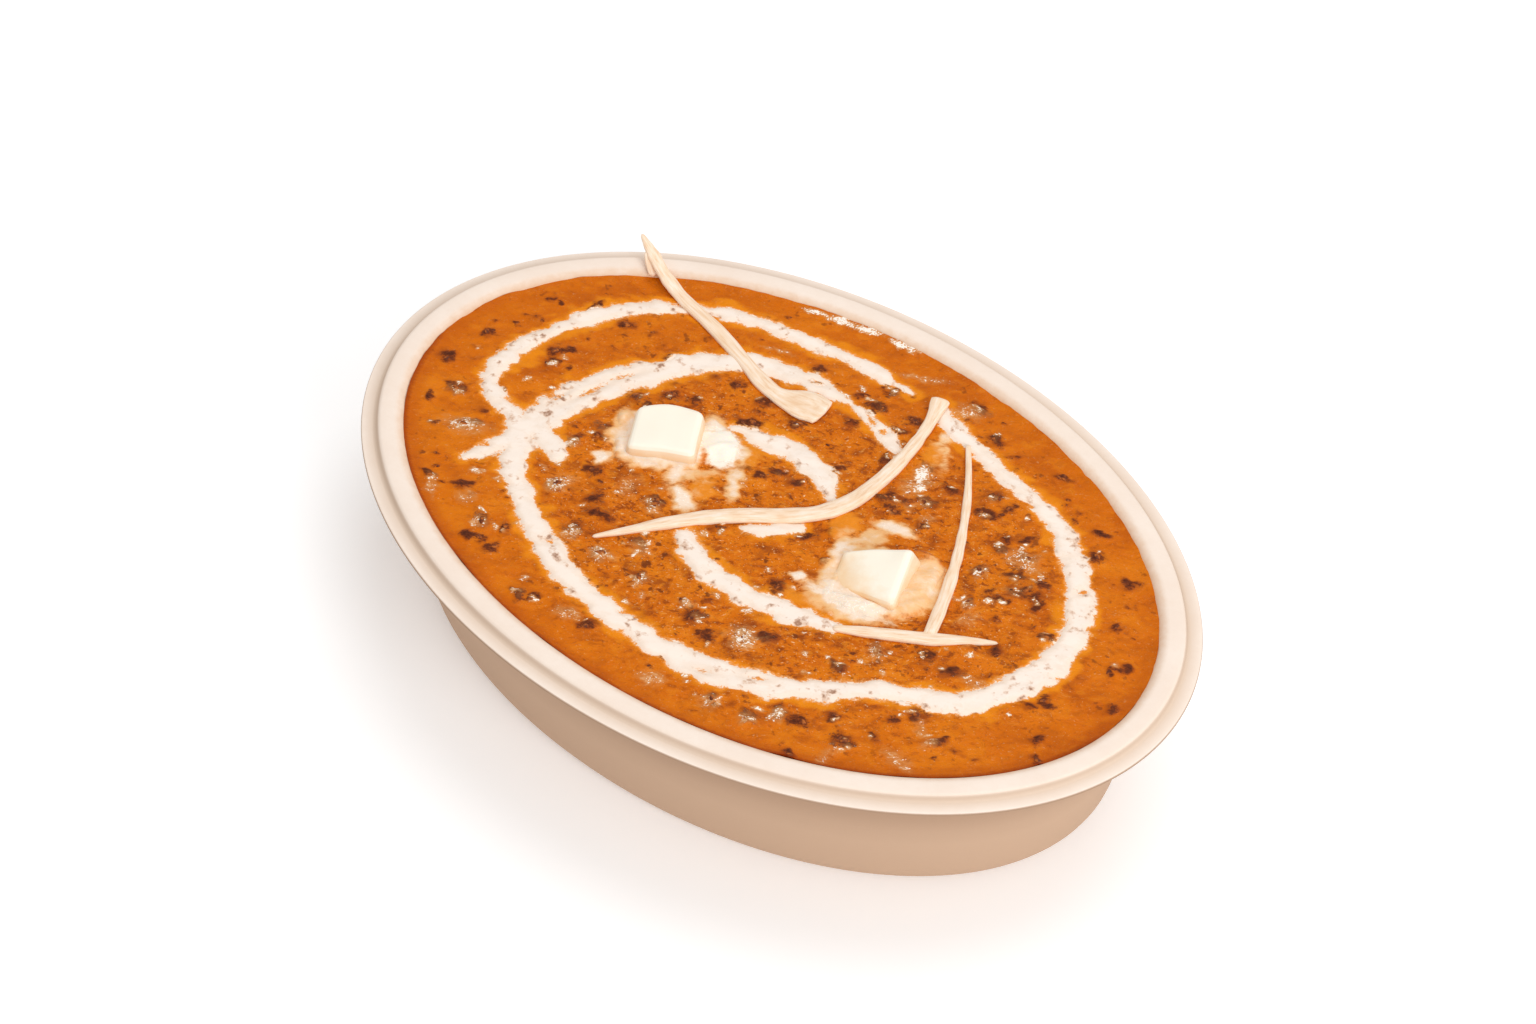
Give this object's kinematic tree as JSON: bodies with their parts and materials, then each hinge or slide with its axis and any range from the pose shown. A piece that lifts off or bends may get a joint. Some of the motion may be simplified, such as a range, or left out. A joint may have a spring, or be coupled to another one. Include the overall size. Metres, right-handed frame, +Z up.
{
  "type": "dal makhani in an oval takeaway bowl",
  "caption": "Creamy black lentil stew filling an oval moulded-fibre takeaway bowl, with poured cream, melting butter and ginger slivers; rests flat on a table.",
  "frame": {"origin": "on the table, under the middle of the bowl", "axes": "+X along the bowl's long axis, +Y along its short axis, +Z up"},
  "size_m": [0.222, 0.158, 0.0503],
  "materials": {
    "fibre": "matt pressed plant fibre, off-white with a warm tint",
    "dal": "thick oily orange-brown lentil gravy, wet",
    "cream": "poured cream, softly glossy",
    "butter": "pale butter, waxy and melting at its foot",
    "ginger": "moist cut ginger with fine lengthwise fibres"
  },
  "bodies": {
    "root": {"bowl": "fibre", "dal": "dal", "cream_ring": "cream", "cream_inner_upper": "cream", "cream_inner_lower": "cream", "cream_under_ginger": "cream", "butter_left": "butter", "butter_right": "butter", "ginger_upper": "ginger", "ginger_middle": "ginger", "ginger_right": "ginger", "ginger_lower": "ginger"}
  },
  "joints": []
}
